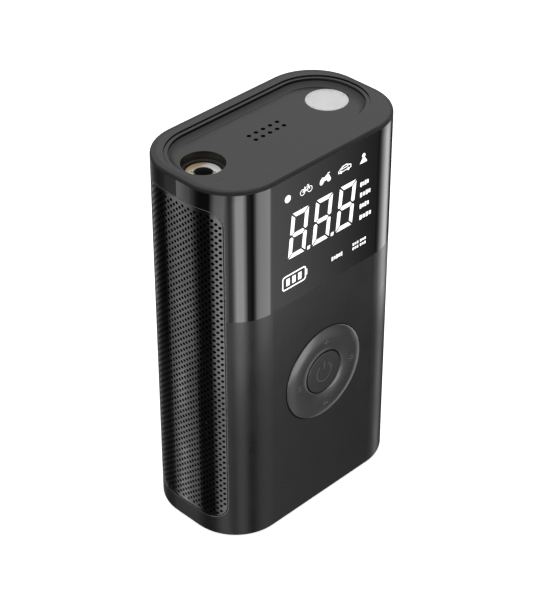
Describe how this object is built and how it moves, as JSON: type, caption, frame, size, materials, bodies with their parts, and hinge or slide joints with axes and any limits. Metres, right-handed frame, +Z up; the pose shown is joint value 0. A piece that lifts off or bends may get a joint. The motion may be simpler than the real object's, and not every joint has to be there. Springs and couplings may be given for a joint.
{
  "type": "handheld cordless air pump",
  "caption": "Handheld cordless air pump with a display, a round control pad, perforated side grilles, a lamp and a threaded air outlet in its top.",
  "frame": {"origin": "centre of the flat base, where the pump stands", "axes": "+Z up, -Y out of the control face, +X from the outlet end to the lamp end"},
  "size_m": [0.08, 0.0462, 0.1325],
  "materials": {
    "matte_casing": "fine spark-eroded texture",
    "gloss_wrap": "smoked high gloss",
    "grille_metal": "satin black, perforated",
    "ring_plastic": "satin",
    "button_plastic": "fine matt",
    "lens_white": "milky diffuser",
    "brass_fitting": "turned, nickel tint",
    "dark_plastic": "moulded",
    "reflector_chrome": "vacuum metallised",
    "lamp_chip": "satin",
    "rubber": "matt",
    "circuit_board": "solder mask",
    "steel": "machined",
    "cast_aluminium": "die cast",
    "ring_seal": "filled polymer",
    "cell_wrap": "shrink sleeve"
  },
  "bodies": {
    "root": {"front_shell": "matte_casing", "rear_shell": "matte_casing", "display_wrap": "gloss_wrap", "base_plate": "matte_casing", "base_screws": "steel", "top_bezel": "matte_casing", "top_plate": "matte_casing", "left_grille": "grille_metal", "right_grille": "grille_metal", "led_lens": "lens_white", "lamp_reflector": "reflector_chrome", "lamp_board": "circuit_board", "lamp_led": "lamp_chip", "outlet_connector": "brass_fitting", "outlet_collar": "dark_plastic", "outlet_o_ring": "rubber", "air_hose": "rubber", "hose_clamps": "steel", "buzzer": "dark_plastic", "key_pad": "rubber", "tact_switches": "dark_plastic", "button_board": "circuit_board", "display_diffuser": "lamp_chip", "display_module": "dark_plastic", "main_board": "circuit_board", "motor_can": "steel", "motor_endcap": "dark_plastic", "motor_magnets": "steel", "motor_screws": "steel", "gearbox_frame": "cast_aluminium", "frame_dampers": "rubber", "frame_screws": "steel", "crank_bearing": "steel", "cylinder": "cast_aluminium", "head_gasket": "rubber", "cylinder_head": "cast_aluminium", "reed_valve": "steel", "head_screws": "steel", "battery_cells": "cell_wrap", "battery_cradle_low": "dark_plastic", "battery_cradle_top": "dark_plastic", "nickel_straps": "steel", "charge_board": "circuit_board", "usb_c_receptacle": "steel"},
    "rocker": {"nav_gimbal": "dark_plastic"},
    "ring": {"nav_ring": "ring_plastic"},
    "button": {"power_button": "button_plastic"},
    "rotor": {"motor_shaft": "steel", "motor_armature": "steel", "commutator": "dark_plastic", "pinion": "steel"},
    "crank": {"crankshaft": "steel", "crank_gear": "steel", "crank_web": "steel", "crank_pin": "steel"},
    "rod": {"connecting_rod": "cast_aluminium", "big_end_bearing": "steel", "wrist_pin": "steel"},
    "plunger": {"piston": "cast_aluminium", "piston_ring": "ring_seal"}
  },
  "joints": [
    {"name": "rocker_tilt", "type": "hinge", "parent": "root", "child": "rocker", "pos_m": [0, -0.0195, 0.0516], "axis": [1, 0, 0], "range_deg": [-1.8, 1.8], "stiffness_Nm_per_rad": 0.35},
    {"name": "ring_tilt", "type": "hinge", "parent": "rocker", "child": "ring", "pos_m": [0, -0.0195, 0.0516], "axis": [0, 0, 1], "range_deg": [-1.8, 1.8], "stiffness_Nm_per_rad": 0.35},
    {"name": "power_press", "type": "slide", "parent": "root", "child": "button", "axis": [0, 1, 0], "range_m": [0, 0.0005], "stiffness_N_per_m": 1200},
    {"name": "crank_spin", "type": "hinge", "parent": "root", "child": "crank", "pos_m": [-0.01, 0, 0.042], "axis": [0, 1, 0], "continuous": true},
    {"name": "rotor_spin", "type": "hinge", "parent": "root", "child": "rotor", "pos_m": [-0.01, 0, 0.0189], "axis": [0, 1, 0], "continuous": true},
    {"name": "rod_swing", "type": "hinge", "parent": "crank", "child": "rod", "pos_m": [-0.01, -0.003, 0.046], "axis": [0, 1, 0], "continuous": true},
    {"name": "piston_stroke", "type": "slide", "parent": "root", "child": "plunger", "axis": [0, 0, 1], "range_m": [-0.008, 0]}
  ],
  "couplings": [
    {"joint": "rotor_spin", "follows": "crank_spin", "ratio": -4.5},
    {"joint": "rod_swing", "follows": "crank_spin", "ratio": -1}
  ]
}
